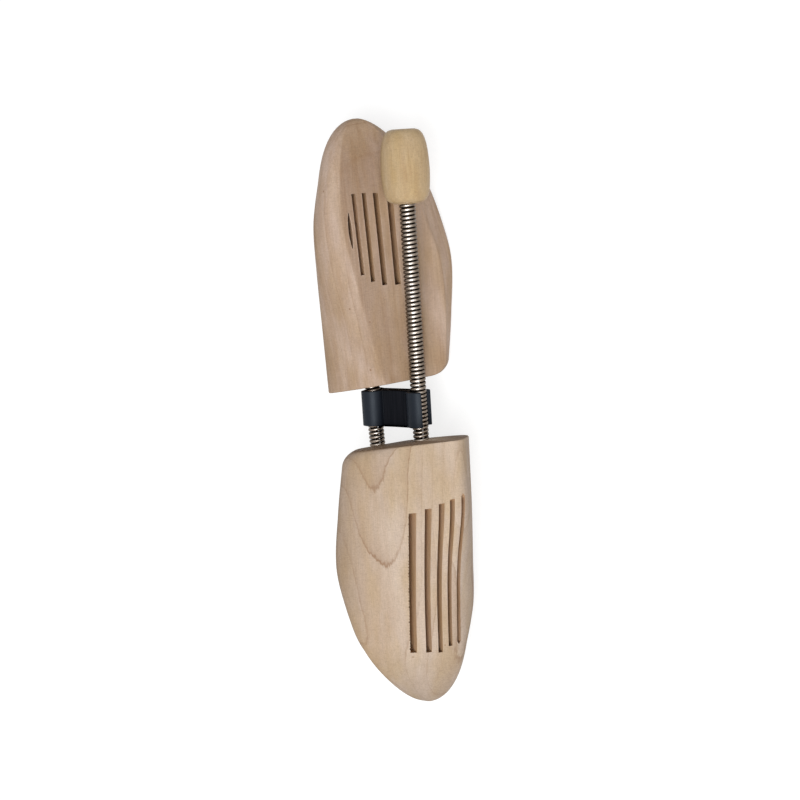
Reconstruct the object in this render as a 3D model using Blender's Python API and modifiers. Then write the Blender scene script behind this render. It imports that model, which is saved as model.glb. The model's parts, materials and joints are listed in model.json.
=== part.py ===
"""A pair of spiral-spring shoe trees, held head to tail by a double clip.

Each tree is a carved forefoot block, a close-wound steel coil spring and a turned heel knob.
The right tree, a, lies with its sole down and the left tree, b, with its sole up.

Directions inside a block: x towards the inner side of the foot, -y towards the toe, z up
from the sole. The pair is set out with both springs along y and the clip at the origin,
and is then laid down as it rests on a table.
"""

import math

import bmesh
import bpy
import numpy as np
from mathutils import Euler, Matrix, Vector

# Driving sizes, in metres
BLOCK_LENGTH = 0.128
BLOCK_WIDTH = 0.066
BLOCK_HEIGHT = 0.050
TOE_START = 0.090
TOE_CORE_HEIGHT = 0.012
TOE_CORE_SIDE = -0.003
CORNER_RADIUS = 0.007
BACK_SKEW = math.radians(4.6)
BACK_LEAN = math.radians(4)
BLOCK_A_YAW = math.radians(1.77)
BLOCK_B_YAW = math.radians(1.51)
SOLE_PITCH = math.radians(5)

SPRING_DIAMETER = 0.0078
SPRING_FREE_LENGTH = 0.1125
SPRING_SEAT_DEPTH = 0.012
SPRING_HEIGHT = 0.0132
SPRING_B_TURN = math.radians(1.8)
WIRE_DIAMETER = 0.0022
COIL_GAP = 0.0007
POINTS_PER_CURL = 8

KNOB_DIAMETER = 0.0228
KNOB_LENGTH = 0.034

KERF_WIDTH = 0.0029
KERF_RADIUS = 0.036
KERF_CENTRE = 0.0632
KERF_REACH = 0.0067
KERF_SLANT = math.radians(15.6)
KERF_LEAN = math.radians(6.3)
KERF_FAN = math.radians(2)

CLIP_HEIGHT = 0.0172
CLIP_SPACING = 0.025
CLIP_WALL = 0.002
CLIP_WEB = 0.003
CLIP_MOUTH_HALF_ANGLE = math.radians(50)
CLIP_TURN = math.radians(43)
CLIP_ROUNDING = 0.0003
CLIP_TO_BLOCK_A = 0.0067
CLIP_TO_BLOCK_B = 0.0014

CLEARANCE = 0.0003
OVERRUN = 0.004
LEAST_COIL_GAP = 0.0004
MERGE_DISTANCE = 0.00001

REST_ROLL = math.radians(39.64)
REST_PITCH = math.radians(5.22)

# Where the spring bends, as shares of its free stretch beyond the clip
NEAR_BEND_SHARE = 0.25
FAR_BEND_SHARE = 0.75

# How the toe closes: 2 is an ellipse and more is squarer
TOE_WIDTH_POWER = 2
TOE_HEIGHT_POWER = 2.6

# How fine the faceted forms are
SECTION_STEPS = 16
BLOCK_SLICES = 16
CORNER_SLICE_SHARES = (0.12, 0.4)
TOE_SLICES = 9
TOE_TIP_SHARE = 0.25
POINTS_PER_SPAN = 3
SOLE_POINTS = 4
KNOB_STEPS = 28
KNOB_POINTS_PER_SPAN = 2
ARC_STEP = math.radians(15)
KERF_ARC_POINTS = 12
BORE_POINTS = 24
SHARP_EDGE = math.radians(50)

# Six cross-sections of the block, from its back to its toe. Each is the path over the top, from
# the inner edge of the sole to its outer edge, as shares of the block's width and height.
SECTION_PLACE_SHARES = (0, 0.25, 0.45, 0.62, 0.78, 1)
SECTION_SHARES = (
    ((-0.055, 0), (0.140, 0.22), (0.275, 0.54), (0.215, 0.84), (0.088, 1.00),
     (-0.186, 0.74), (-0.396, 0.50), (-0.566, 0.25), (-0.526, 0.03)),
    ((0.040, 0), (0.190, 0.18), (0.292, 0.46), (0.233, 0.77), (0.102, 0.90),
     (-0.178, 0.65), (-0.438, 0.43), (-0.638, 0.24), (-0.558, 0.02)),
    ((0.105, 0), (0.242, 0.115), (0.318, 0.320), (0.258, 0.590), (0.080, 0.700),
     (-0.188, 0.565), (-0.453, 0.405), (-0.673, 0.231), (-0.544, 0.02)),
    ((0.150, 0), (0.265, 0.095), (0.317, 0.275), (0.264, 0.505), (0.066, 0.600),
     (-0.181, 0.510), (-0.412, 0.390), (-0.617, 0.234), (-0.452, 0.018)),
    ((0.145, 0.004), (0.232, 0.098), (0.269, 0.250), (0.216, 0.465), (0.028, 0.545),
     (-0.172, 0.475), (-0.354, 0.378), (-0.521, 0.240), (-0.350, 0.023)),
    ((0.155, 0.05), (0.235, 0.12), (0.275, 0.24), (0.210, 0.42), (0.000, 0.50),
     (-0.156, 0.46), (-0.277, 0.36), (-0.377, 0.24), (-0.277, 0.06)),
)
CORNER_PULL_SHARES = (0, 0, 0, 0, 0, 0.15, 0.6, 1, 1)

# The kerfs, from the outer side in: place across the sole, width of cut, the saw's radius, how
# far it reaches below the sole, how far from the back its centre is, how far it slants back,
# how far it leans inwards, and how far it turns inwards towards the toe. They are shares of
# the block's width, and of the full kerf width, radius, reach, centre, slant, lean and fan.
KERF_SHARES = (
    (-0.215, 1.00, 0.939, 1.135, 1.049, 0.51, 0.86, 0.15),
    (-0.115, 0.88, 0.960, 1.10, 1.038, 0.60, 0.77, 0.45),
    (-0.031, 0.74, 0.983, 0.99, 1.0285, 0.79, 0.67, 0.5),
    (0.0415, 0.69, 0.941, 0.87, 1.012, 1.14, 0.63, 0.8),
    (0.0915, 0.68, 0.949, 0.18, 0.976, 1.40, 1, 1),
)

# The knob's outline, as shares of its length, from the spring end, and of its radius
KNOB_SHARES = (
    (0, 0.50), (0.035, 0.75), (0.10, 0.89), (0.22, 0.965), (0.42, 1.0),
    (0.62, 0.98), (0.79, 0.92), (0.91, 0.81), (0.975, 0.66), (1, 0.48),
)


def smooth_path(points, steps):
    """Catmull-Rom curve through the points, with the given number of steps between two."""
    points = np.asarray(points, float)
    before = np.vstack([2 * points[0] - points[1], points[:-1]])
    after = np.vstack([points[1:], 2 * points[-1] - points[-2]])
    slopes = (after - before) / 2
    t = (np.arange(steps) / steps)[None, :, None]
    p0, p1 = points[:-1, None], points[1:, None]
    m0, m1 = slopes[:-1, None], slopes[1:, None]
    path = (
        (2 * t**3 - 3 * t**2 + 1) * p0
        + (t**3 - 2 * t**2 + t) * m0
        + (3 * t**2 - 2 * t**3) * p1
        + (t**3 - t**2) * m1
    )
    return np.vstack([path.reshape(-1, points.shape[1]), points[-1]])


def material(name, colour, roughness, metallic=0.0):
    made = bpy.data.materials.new(name)
    made.use_nodes = True
    made.diffuse_color = (*colour, 1)
    shader = made.node_tree.nodes["Principled BSDF"]
    shader.inputs["Base Color"].default_value = (*colour, 1)
    shader.inputs["Roughness"].default_value = roughness
    shader.inputs["Metallic"].default_value = metallic
    return made


def add_object(name, data, collection, parent=None, surface=None):
    made = bpy.data.objects.new(name, data)
    collection.objects.link(made)
    made.parent = parent
    if surface:
        data.materials.append(surface)
    return made


def add_empty(name, collection, parent, location):
    made = add_object(name, None, collection, parent)
    made.empty_display_size = SPRING_DIAMETER
    made.location = location
    return made


def mesh_from(name, points, faces):
    """A closed mesh with its faces turned outwards."""
    mesh = bpy.data.meshes.new(name)
    mesh.from_pydata([tuple(point) for point in points], [], faces)
    work = bmesh.new()
    work.from_mesh(mesh)
    bmesh.ops.recalc_face_normals(work, faces=work.faces)
    work.to_mesh(mesh)
    work.free()
    return mesh


def cut(target, cutter):
    modifier = target.modifiers.new(cutter.name, "BOOLEAN")
    modifier.operation = "DIFFERENCE"
    modifier.solver = "EXACT"
    modifier.object = cutter


def hide_cutter(cutter):
    cutter.hide_render = True
    cutter.display_type = "WIRE"


def section_at(share):
    """The path over the block at a share of its length, read from the cross-sections."""
    places = np.array(SECTION_PLACE_SHARES)
    table = np.array(SECTION_SHARES).reshape(len(places), -1)
    path = smooth_path(table, SECTION_STEPS)
    along = np.interp(share, places, np.arange(len(places))) * SECTION_STEPS
    low = min(int(along), len(path) - 2)
    blend = along - low
    row = path[low] * (1 - blend) + path[low + 1] * blend
    return row.reshape(-1, 2) * (BLOCK_WIDTH, BLOCK_HEIGHT)


def block_ring(distance):
    """One closed cross-section of the block, at this distance from its back, as x, y and z."""
    section = section_at(distance / BLOCK_LENGTH)
    if distance < CORNER_RADIUS:
        inset = CORNER_RADIUS - math.sqrt(CORNER_RADIUS**2 - (CORNER_RADIUS - distance) ** 2)
        section[:, 0] += inset * np.array(CORNER_PULL_SHARES)
    over = smooth_path(section, POINTS_PER_SPAN)
    under = np.linspace(over[-1], over[0], SOLE_POINTS + 2)[1:-1]
    ring = np.vstack([over, under])
    if distance > TOE_START:
        share = (distance - TOE_START) / (BLOCK_LENGTH - TOE_START)
        core = np.array((TOE_CORE_SIDE, TOE_CORE_HEIGHT))
        powers = np.array((TOE_WIDTH_POWER, TOE_HEIGHT_POWER))
        close = (1 - share**powers) ** (1 / powers)
        ring = core + (ring - core) * close
    fade = (1 - distance / BLOCK_LENGTH) ** 2
    skewed = ring[:, 0] * math.tan(BACK_SKEW)
    leaned = (ring[:, 1] - SPRING_HEIGHT) * math.tan(BACK_LEAN)
    forward = distance - (skewed + leaned) * fade
    return np.column_stack([ring[:, 0], -forward, ring[:, 1]])


def block_mesh(name, mirror):
    """The carved forefoot block without its cuts, lofted from back to toe.

    The slices crowd together towards the toe, where the outline turns in, and end just short
    of the tip. Mirror is 1 for the right foot and -1 for the left.
    """
    body = np.linspace(0, TOE_START, BLOCK_SLICES + 1)
    body = np.sort(np.append(body, CORNER_RADIUS * np.array(CORNER_SLICE_SHARES)))
    turn = np.linspace(0, math.pi / 2, TOE_SLICES + 1)[1:]
    toe = TOE_START + (BLOCK_LENGTH - TOE_START) * np.sin(turn)
    toe[-1] += (toe[-2] - toe[-1]) * TOE_TIP_SHARE
    rings = [block_ring(distance) for distance in (*body, *toe)]
    count = len(rings[0])
    faces = [tuple(range(count))]
    for row in range(len(rings) - 1):
        for step in range(count):
            near = row * count + step
            next_one = row * count + (step + 1) % count
            faces.append((near, next_one, next_one + count, near + count))
    faces.append(tuple(range((len(rings) - 1) * count, len(rings) * count)))
    points = np.vstack(rings) * (mirror, 1, 1)
    return mesh_from(name, points, faces)


def bore_cutter(name, collection, parent):
    """The hole that a spring is screwed into, along y through the origin."""
    depth = SPRING_SEAT_DEPTH + CLEARANCE + OVERRUN
    bpy.ops.mesh.primitive_cylinder_add(
        vertices=BORE_POINTS, radius=SPRING_DIAMETER / 2 + CLEARANCE, depth=depth
    )
    made = bpy.context.object
    made.name = name
    move_to(made, collection, parent)
    made.data.transform(Matrix.Translation((0, 0, depth / 2 - OVERRUN)))
    made.rotation_euler = (math.pi / 2, 0, 0)
    hide_cutter(made)
    return made


def move_to(made, collection, parent):
    for old in list(made.users_collection):
        old.objects.unlink(made)
    collection.objects.link(made)
    made.parent = parent


def plate_mesh(name, outline, thickness):
    """A flat plate: a closed outline in x and y, given its thickness along z."""
    curve = bpy.data.curves.new(name, "CURVE")
    curve.dimensions = "2D"
    curve.fill_mode = "BOTH"
    curve.extrude = thickness / 2
    spline = curve.splines.new("POLY")
    spline.points.add(len(outline) - 1)
    for point, place in zip(spline.points, outline):
        point.co = (*place, 0, 1)
    spline.use_cyclic_u = True
    helper = bpy.data.objects.new(name, curve)
    mesh = bpy.data.meshes.new_from_object(helper)
    bpy.data.objects.remove(helper)
    work = bmesh.new()
    work.from_mesh(mesh)
    bmesh.ops.remove_doubles(work, verts=work.verts, dist=MERGE_DISTANCE)
    bmesh.ops.recalc_face_normals(work, faces=work.faces)
    work.to_mesh(mesh)
    work.free()
    return mesh


def kerf_cutter(name, collection, parent, mirror):
    """All the saw cuts of one block: plates on edge, with a round lower end, slanting back."""
    top = BLOCK_HEIGHT + OVERRUN
    upright = Matrix(((0, 0, 1), (1, 0, 0), (0, 1, 0)))
    joined = bmesh.new()
    for place, width, long, reach, centre, slant, lean, fan in KERF_SHARES:
        radius = KERF_RADIUS * long
        outline = [(radius, top), (-radius, top)]
        for step in range(KERF_ARC_POINTS + 1):
            angle = math.pi * (1 + step / KERF_ARC_POINTS)
            outline.append((radius * math.cos(angle), radius * math.sin(angle)))
        plate = plate_mesh(name, outline, KERF_WIDTH * width)
        height = radius - KERF_REACH * reach
        side = BLOCK_WIDTH * place + height * math.tan(KERF_LEAN * lean)
        slanted = Matrix(((1, 0, 0), (0, 1, math.tan(KERF_SLANT * slant)), (0, 0, 1)))
        leaning = Matrix.Rotation(mirror * KERF_LEAN * lean, 3, "Y")
        fanned = Matrix.Rotation(mirror * KERF_FAN * fan, 3, "Z")
        turned = (fanned @ leaning @ slanted @ upright).to_4x4()
        placed = Matrix.Translation((mirror * side, -KERF_CENTRE * centre, height))
        plate.transform(placed @ turned)
        joined.from_mesh(plate)
        bpy.data.meshes.remove(plate)
    mesh = bpy.data.meshes.new(name)
    joined.to_mesh(mesh)
    joined.free()
    cutter = add_object(name, mesh, collection, parent)
    hide_cutter(cutter)
    return cutter


def build_block(name, collection, cutters, parent, mirror, yaw, wood):
    """A forefoot block with its origin at the mouth of the spring's hole, tipped by its pitch."""
    seat = add_empty(f"{name}_seat", collection, parent, (0, 0, 0))
    seat.rotation_euler = (-SOLE_PITCH, 0, -yaw * mirror)
    block = add_object(name, block_mesh(name, mirror), collection, seat, wood)
    block.location = (0, 0, -SPRING_HEIGHT)
    cut(block, kerf_cutter(f"{name}_kerfs", cutters, block, mirror))
    cut(block, bore_cutter(f"{name}_bore", cutters, parent))
    return block


def spring_points():
    """The coil's centre line along y, with as many whole curls as its length takes."""
    length = SPRING_FREE_LENGTH + 2 * SPRING_SEAT_DEPTH - WIRE_DIAMETER
    radius = (SPRING_DIAMETER - WIRE_DIAMETER) / 2
    curls = int(length / (WIRE_DIAMETER + COIL_GAP))
    share = np.arange(curls * POINTS_PER_CURL + 1) / (curls * POINTS_PER_CURL)
    turn = 2 * math.pi * curls * share
    y = WIRE_DIAMETER / 2 - SPRING_SEAT_DEPTH + length * share
    return np.column_stack([-radius * np.cos(turn), y, radius * np.sin(turn)])


def least_gap_to_itself(points):
    """The least clear distance between neighbouring curls, wire surface to wire surface."""
    least = math.inf
    for shift in range(POINTS_PER_CURL // 2, POINTS_PER_CURL * 3 // 2 + 1):
        gap = np.linalg.norm(points[shift:] - points[:-shift], axis=1).min()
        least = min(least, gap)
    return least - WIRE_DIAMETER


def build_spring(name, collection, parent, origin, steel):
    """A coil spring with its origin moved to the first bend, this far from the block."""
    points = spring_points()
    gap = least_gap_to_itself(points)
    print(f"{name}: least gap to itself {gap * 1000:.2f} mm")
    assert gap > LEAST_COIL_GAP
    curve = bpy.data.curves.new(name, "CURVE")
    curve.dimensions = "3D"
    curve.bevel_depth = WIRE_DIAMETER / 2
    curve.bevel_resolution = 1
    curve.use_fill_caps = True
    spline = curve.splines.new("POLY")
    spline.points.add(len(points) - 1)
    for point, place in zip(spline.points, points - (0, origin, 0)):
        point.co = (*place, 1)
    return add_object(name, curve, collection, parent, steel)


def build_knob(name, collection, parent, start, wood):
    """A turned knob on the y axis, its spring end at this distance from the object's origin."""
    outside = smooth_path(KNOB_SHARES, KNOB_POINTS_PER_SPAN)
    outside = outside * (KNOB_LENGTH, KNOB_DIAMETER / 2)
    bore = SPRING_DIAMETER / 2 + CLEARANCE
    depth = SPRING_SEAT_DEPTH + CLEARANCE
    profile = [(0, KNOB_LENGTH)]
    profile += [(radius, along) for along, radius in outside[::-1]]
    profile += [(bore, 0), (bore, depth), (0, depth)]
    mesh = bpy.data.meshes.new(name)
    mesh.from_pydata(
        [(radius, 0, along) for radius, along in profile],
        [(step, step + 1) for step in range(len(profile) - 1)],
        [],
    )
    knob = add_object(name, mesh, collection, parent, wood)
    screw = knob.modifiers.new("turned", "SCREW")
    screw.steps = KNOB_STEPS
    screw.render_steps = KNOB_STEPS
    screw.use_merge_vertices = True
    screw.merge_threshold = MERGE_DISTANCE
    screw.use_normal_calculate = True
    knob.rotation_euler = (-math.pi / 2, 0, 0)
    knob.location = (0, start, 0)
    return knob


def arc(centre, radius, start, end):
    count = max(2, round(abs(end - start) / ARC_STEP))
    angles = np.linspace(start, end, count + 1)
    return [(centre + radius * math.cos(a), radius * math.sin(a)) for a in angles]


def clip_outline():
    """The clip's cross-section: a channel open to each side, joined back to back by a web."""
    inner = SPRING_DIAMETER / 2 + CLEARANCE
    outer = inner + CLIP_WALL
    centre = CLIP_SPACING / 2
    mouth = CLIP_MOUTH_HALF_ANGLE
    join = math.pi - math.asin(CLIP_WEB / 2 / outer)
    right = arc(centre, outer, -join, -mouth)
    right += arc(centre, inner, -mouth, -(2 * math.pi - mouth))
    right += arc(centre, outer, mouth, join)
    left = [(-x, -y) for x, y in right]
    return right + left


def build_clip(collection, parent, plastic):
    mesh = plate_mesh("double_clip", clip_outline(), CLIP_HEIGHT)
    clip = add_object("double_clip", mesh, collection, parent, plastic)
    clip.matrix_local = Euler((math.pi / 2, -CLIP_TURN, 0), "XYZ").to_matrix().to_4x4()
    rounding = clip.modifiers.new("rounded edges", "BEVEL")
    rounding.width = CLIP_ROUNDING
    rounding.segments = 1
    rounding.limit_method = "ANGLE"
    rounding.angle_limit = SHARP_EDGE
    return clip


def build_tree(letter, collection, cutters, pair, surfaces):
    """One tree: block, spring and knob, with an empty on each bend of the spring."""
    first = letter == "a"
    mirror = 1 if first else -1
    gap = CLIP_TO_BLOCK_A if first else CLIP_TO_BLOCK_B
    back = CLIP_HEIGHT / 2 + gap
    reach = mirror * CLIP_SPACING / 2
    channel = Vector((reach * math.cos(CLIP_TURN), 0, reach * math.sin(CLIP_TURN)))
    turn = Euler((0 if first else math.pi, 0, 0 if first else -SPRING_B_TURN), "ZYX")
    tree = add_empty(f"tree_{letter}", collection, pair, (0, 0, 0))
    tree.rotation_mode = "ZYX"
    tree.rotation_euler = turn
    tree.location = channel - turn.to_matrix() @ Vector((0, back, 0))
    yaw = BLOCK_A_YAW if first else BLOCK_B_YAW
    name = f"forefoot_block_{letter}"
    build_block(name, collection, cutters, tree, mirror, yaw, surfaces["block"])
    free_start = back + CLIP_HEIGHT / 2
    stretch = SPRING_FREE_LENGTH - free_start
    near = free_start + stretch * NEAR_BEND_SHARE
    far = free_start + stretch * FAR_BEND_SHARE
    near_bend = add_empty(f"near_bend_{letter}", collection, tree, (0, near, 0))
    far_bend = add_empty(f"far_bend_{letter}", collection, tree, (0, far, 0))
    build_spring(f"coil_spring_{letter}", collection, near_bend, near, surfaces["spring"])
    knob_start = SPRING_FREE_LENGTH - far
    build_knob(f"heel_knob_{letter}", collection, far_bend, knob_start, surfaces["knob"])


def lay_down(pair, collection):
    """Turn the pair to its resting pose, and set it centred over the origin on the table."""
    roll = Matrix.Rotation(REST_ROLL, 3, "Y")
    pitch = Matrix.Rotation(REST_PITCH, 3, "X")
    pair.rotation_euler = (pitch @ roll).to_euler()
    bpy.context.view_layer.update()
    graph = bpy.context.evaluated_depsgraph_get()
    low = np.full(3, np.inf)
    high = np.full(3, -np.inf)
    for made in collection.objects:
        if made.type not in ("MESH", "CURVE"):
            continue
        evaluated = made.evaluated_get(graph)
        mesh = evaluated.to_mesh()
        points = np.empty(len(mesh.vertices) * 3)
        mesh.vertices.foreach_get("co", points)
        world = np.array(evaluated.matrix_world)
        points = points.reshape(-1, 3) @ world[:3, :3].T + world[:3, 3]
        low = np.minimum(low, points.min(axis=0))
        high = np.maximum(high, points.max(axis=0))
        evaluated.to_mesh_clear()
    middle = (low + high) / 2
    pair.location = (-middle[0], -middle[1], -low[2])


def main():
    for old in list(bpy.data.objects):
        bpy.data.objects.remove(old)
    collection = bpy.data.collections.new("shoe_tree_pair")
    cutters = bpy.data.collections.new("cutters")
    cutters.hide_render = True
    bpy.context.scene.collection.children.link(collection)
    bpy.context.scene.collection.children.link(cutters)
    surfaces = {
        "block": material("pale_beech", (0.56, 0.41, 0.29), 0.55),
        "knob": material("varnished_beech", (0.60, 0.43, 0.23), 0.35),
        "spring": material("spring_steel", (0.50, 0.48, 0.45), 0.22, 1.0),
    }
    plastic = material("black_plastic", (0.012, 0.014, 0.02), 0.4)
    pair = add_empty("resting_pair", collection, None, (0, 0, 0))
    build_clip(collection, pair, plastic)
    for letter in "ab":
        build_tree(letter, collection, cutters, pair, surfaces)
    lay_down(pair, collection)


main()
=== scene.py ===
# %% [markdown]
# # Two sprung shoe trees in a double clip
#
# A shoe tree keeps a shoe in shape while it dries. Each one here has a carved beech block
# for the front of the shoe, a close-wound steel spring that bows under the instep, and a
# turned knob that the spring presses into the heel. The right and the left tree are packed
# head to tail, and a small black clip holds their springs side by side.
#
# The first cell loads the imported solids as a fixed frame. Everything made below is placed by
# that frame, and each block, knob and the clip is hung from the solid it belongs to, so that it
# moves with it.

# %% Load the frame
import json
import math

import bmesh
import bpy
import numpy as np
from mathutils import Matrix, Vector


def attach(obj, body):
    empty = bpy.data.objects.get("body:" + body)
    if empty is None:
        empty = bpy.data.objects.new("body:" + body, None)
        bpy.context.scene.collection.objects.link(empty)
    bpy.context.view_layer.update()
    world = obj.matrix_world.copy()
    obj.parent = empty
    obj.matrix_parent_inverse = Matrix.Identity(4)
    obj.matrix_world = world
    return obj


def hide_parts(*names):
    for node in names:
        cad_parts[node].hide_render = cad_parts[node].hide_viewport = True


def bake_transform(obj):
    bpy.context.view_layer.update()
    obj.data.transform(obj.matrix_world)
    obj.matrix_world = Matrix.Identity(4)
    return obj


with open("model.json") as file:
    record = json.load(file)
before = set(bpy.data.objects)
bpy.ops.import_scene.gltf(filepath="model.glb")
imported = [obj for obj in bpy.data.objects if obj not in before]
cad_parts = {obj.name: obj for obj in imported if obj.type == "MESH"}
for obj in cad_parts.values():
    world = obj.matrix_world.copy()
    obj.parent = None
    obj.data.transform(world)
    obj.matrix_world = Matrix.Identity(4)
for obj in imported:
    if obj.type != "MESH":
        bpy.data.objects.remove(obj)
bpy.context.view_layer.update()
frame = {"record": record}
joints = {joint["name"]: joint for joint in frame["record"]["behaviour"]["joints"]}

# %% [markdown]
# ## Where the two trees lie
#
# A tree has its own directions: x across the foot, y from the toe to the heel along the
# spring, and z up from the sole. The inner side of the foot is at +x on the right tree and at
# -x on the left one. Its two bends are hinges in the frame, so their places and their shared
# axis give the tree's directions, however the pair lies. The block is tipped a little against
# the spring, because a shoe's heel stands higher than its toe.

# %% Directions of each tree
FREE_LENGTH = 0.1125
SPRING_HEIGHT = 0.0132
SOLE_PITCH = math.radians(5)
SIDES = {"a": "right", "b": "left"}
MIRROR = {"a": 1, "b": -1}
YAW = {"a": math.radians(1.77), "b": math.radians(1.51)}


def unit(vector):
    """The vector divided by its own length."""
    return vector / np.linalg.norm(vector)


def tree_place(letter):
    """Matrix of a tree: x is the bends' axis, y runs from bend to bend, and z is x cross y.

    Bend to bend is half of the stretch that bows, and the stretch ends at the free length. The
    first bend is a quarter of the stretch beyond its start. So the origin, at the block's back,
    lies the start's distance and that quarter before the first bend.
    """
    side = SIDES[letter]
    near = np.array(joints[f"{side}_spring_near_bend"]["pos_m"])
    far = np.array(joints[f"{side}_spring_far_bend"]["pos_m"])
    x = unit(np.array(joints[f"{side}_spring_near_bend"]["axis"]))
    y = unit(far - near)
    z = unit(np.cross(x, y))
    stretch = 2 * np.linalg.norm(far - near)
    bow_start = FREE_LENGTH - stretch
    place = np.eye(4)
    place[:3, :3] = np.column_stack([np.cross(y, z), y, z])
    place[:3, 3] = near - y * (bow_start + stretch / 4)
    return place, bow_start


def block_place(letter):
    """The tree's matrix, turned by the yaw about z and by the pitch about x, then lowered."""
    turn = Matrix.Rotation(-YAW[letter] * MIRROR[letter], 4, "Z")
    turn = turn @ Matrix.Rotation(-SOLE_PITCH, 4, "X")
    turn = turn @ Matrix.Translation((0, 0, -SPRING_HEIGHT))
    return tree_place(letter)[0] @ np.array(turn)


for letter in "ab":
    print(SIDES[letter], "tree starts at", np.round(tree_place(letter)[0][:3, 3], 4))

# %% [markdown]
# ## The camera
#
# The photograph looks almost straight down on the pair. The view is set by three turns
# against the right tree's own directions: a roll about its spring, a pitch, and a small turn
# of the picture. The distance decides how much nearer things look larger, and the lens is
# then as long as it takes to cover the width seen.

# %% Camera at the photograph's viewing angle
VIEW_ROLL = math.radians(13.84)
VIEW_PITCH = math.radians(10.5)
VIEW_TURN = math.radians(3.56)
VIEW_DISTANCE = 0.661
VIEW_WIDTH = 0.3854
PICTURE = 800
CLIP_CENTRE_IN_PICTURE = (396.5, 407.6)
CLIP_LENGTH = 0.0172
SENSOR = 36.0

place_a, bow_start_a = tree_place("a")
place_b, bow_start_b = tree_place("b")
channel_a = place_a[:3, 3] + place_a[:3, 1] * (bow_start_a - CLIP_LENGTH / 2)
channel_b = place_b[:3, 3] + place_b[:3, 1] * (bow_start_b - CLIP_LENGTH / 2)
pair_centre = (channel_a + channel_b) / 2

seen = Matrix.Rotation(VIEW_TURN, 3, "Z") @ Matrix.Rotation(VIEW_PITCH, 3, "X")
seen = np.array(seen @ Matrix.Rotation(VIEW_ROLL, 3, "Y"))
axes = place_a[:3, :3] @ seen.T
aside = (np.array(CLIP_CENTRE_IN_PICTURE) / PICTURE - 0.5) * VIEW_WIDTH
eye = pair_centre + axes @ np.array([-aside[0], aside[1], VIEW_DISTANCE])

camera_data = bpy.data.cameras.new("camera")
camera_data.sensor_width = SENSOR
camera_data.lens = SENSOR * VIEW_DISTANCE / VIEW_WIDTH
camera_data.clip_start = 0.01
camera = bpy.data.objects.new("camera", camera_data)
bpy.context.scene.collection.objects.link(camera)
turned = Matrix(axes.tolist()).to_4x4()
camera.matrix_world = Matrix.Translation(eye.tolist()) @ turned
bpy.context.scene.camera = camera
print("camera at", np.round(eye, 3), "lens", round(camera_data.lens, 1), "mm")

# %% [markdown]
# ## Helpers for surfaces on a grid
#
# Nearly every piece here is a grid of points: one direction runs along the piece and the
# other around it. One helper joins the grid's points into faces, and closes it around, one
# puts a lid on both ends, and one makes the mesh and turns its faces outwards.

# %% Grid helpers
def grid_faces(rows, columns):
    """Four-sided faces of a grid that is closed around: (i, j), (i, j+1), (i+1, j+1), (i+1, j)."""
    i, j = np.meshgrid(np.arange(rows - 1), np.arange(columns), indexing="ij")
    k = (j + 1) % columns
    corners = (i * columns + j, i * columns + k, (i + 1) * columns + k, (i + 1) * columns + j)
    return np.stack(corners, -1).reshape(-1, 4).tolist()


def closed_faces(rows, columns):
    """The grid's faces, and one face over its first row and one over its last."""
    lids = [list(range(columns)), list(range((rows - 1) * columns, rows * columns))]
    return grid_faces(rows, columns) + lids


def mesh_piece(name, points, faces, place=None, sharp=40):
    """A piece at the origin, its points moved by the place matrix, smooth but for sharp edges."""
    mesh = bpy.data.meshes.new(name)
    mesh.from_pydata(np.asarray(points).tolist(), [], [tuple(face) for face in faces])
    mesh.validate()
    piece = bpy.data.objects.new(name, mesh)
    bpy.context.scene.collection.objects.link(piece)
    turn_outwards(mesh)
    if place is not None:
        mesh.transform(Matrix(np.asarray(place).tolist()))
    shade(mesh, sharp)
    return piece


def turn_outwards(mesh):
    """Turns every face outwards."""
    work = bmesh.new()
    work.from_mesh(mesh)
    bmesh.ops.recalc_face_normals(work, faces=work.faces)
    work.to_mesh(mesh)
    work.free()


def shade(mesh, sharp):
    """Smooth shading, with edges that turn more than this many degrees kept crisp."""
    mesh.polygons.foreach_set("use_smooth", np.ones(len(mesh.polygons), bool))
    mesh.set_sharp_from_angle(angle=math.radians(sharp))
    mesh.update()


def catmull(points, at):
    """The curve through the points, read at these places, counted in points from the first.

    Between two points it is the cubic whose slope at each point is half the step from the
    point before to the point after.
    """
    points = np.asarray(points, float)
    before = np.concatenate([2 * points[:1] - points[1:2], points[:-1]])
    after = np.concatenate([points[1:], 2 * points[-1:] - points[-2:-1]])
    slopes = (after - before) / 2
    low = np.clip(np.floor(at).astype(int), 0, len(points) - 2)
    t = (np.asarray(at) - low).reshape(-1, *[1] * (points.ndim - 1))
    return (
        (2 * t**3 - 3 * t**2 + 1) * points[low]
        + (t**3 - 2 * t**2 + t) * slopes[low]
        + (3 * t**2 - 2 * t**3) * points[low + 1]
        + (t**3 - t**2) * slopes[low + 1]
    )


# %% [markdown]
# ## The forefoot block
#
# The block is carved to the inside of the shoe's front: broad and flat below, with a crest
# that is high at the back, near the inner side, and falls away to the toe. Six
# cross-sections describe it, and a smooth curve is passed through them twice: along the
# block from section to section, and then around each section. The grid is fine enough that
# no facet shows. Where it is ended, a small round softens the back's edge, and at the toe
# the sections shrink to a point along an oval.

# %% Surface of the block
LENGTH = 0.128
WIDTH = 0.066
HEIGHT = 0.050
TOE_START = 0.090
TOE_CORE = np.array([-0.003, 0.012])
TOE_POWERS = np.array((2, 2.6))
CORNER_RADIUS = 0.007
BACK_ROUNDING = 0.0007
BACK_SKEW = math.radians(4.6)
BACK_LEAN = math.radians(4)
EDGE_SOFTNESS = 0.0006

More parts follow.
